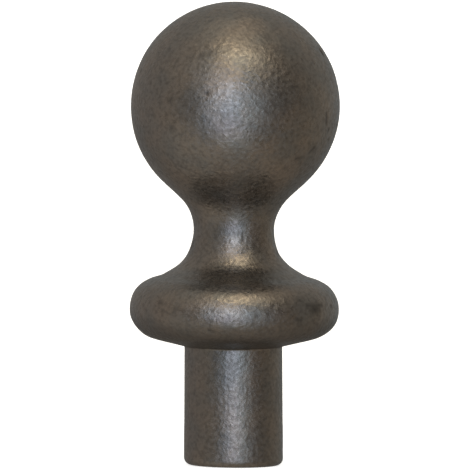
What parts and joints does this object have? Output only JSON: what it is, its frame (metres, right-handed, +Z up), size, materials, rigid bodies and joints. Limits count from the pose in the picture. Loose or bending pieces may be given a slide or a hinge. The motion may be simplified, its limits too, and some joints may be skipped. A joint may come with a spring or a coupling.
{
  "type": "ball fence finial",
  "caption": "Cast iron post finial: a ball on a waisted neck, with a rolled collar below and a round stem that slips into the post's tube.",
  "frame": {"origin": "centre of the stem's flat end, on which the finial stands", "axes": "+Z up along the turning axis, from the stem's end to the top of the ball; +X and +Y are free, because the part is round"},
  "size_m": [0.0472, 0.0472, 0.1045],
  "materials": {
    "cast_iron": "raw sand casting, dark brown-grey with a dull metallic sheen and fine orange-peel grain"
  },
  "bodies": {
    "root": {"ball_finial": "cast_iron"}
  },
  "joints": []
}
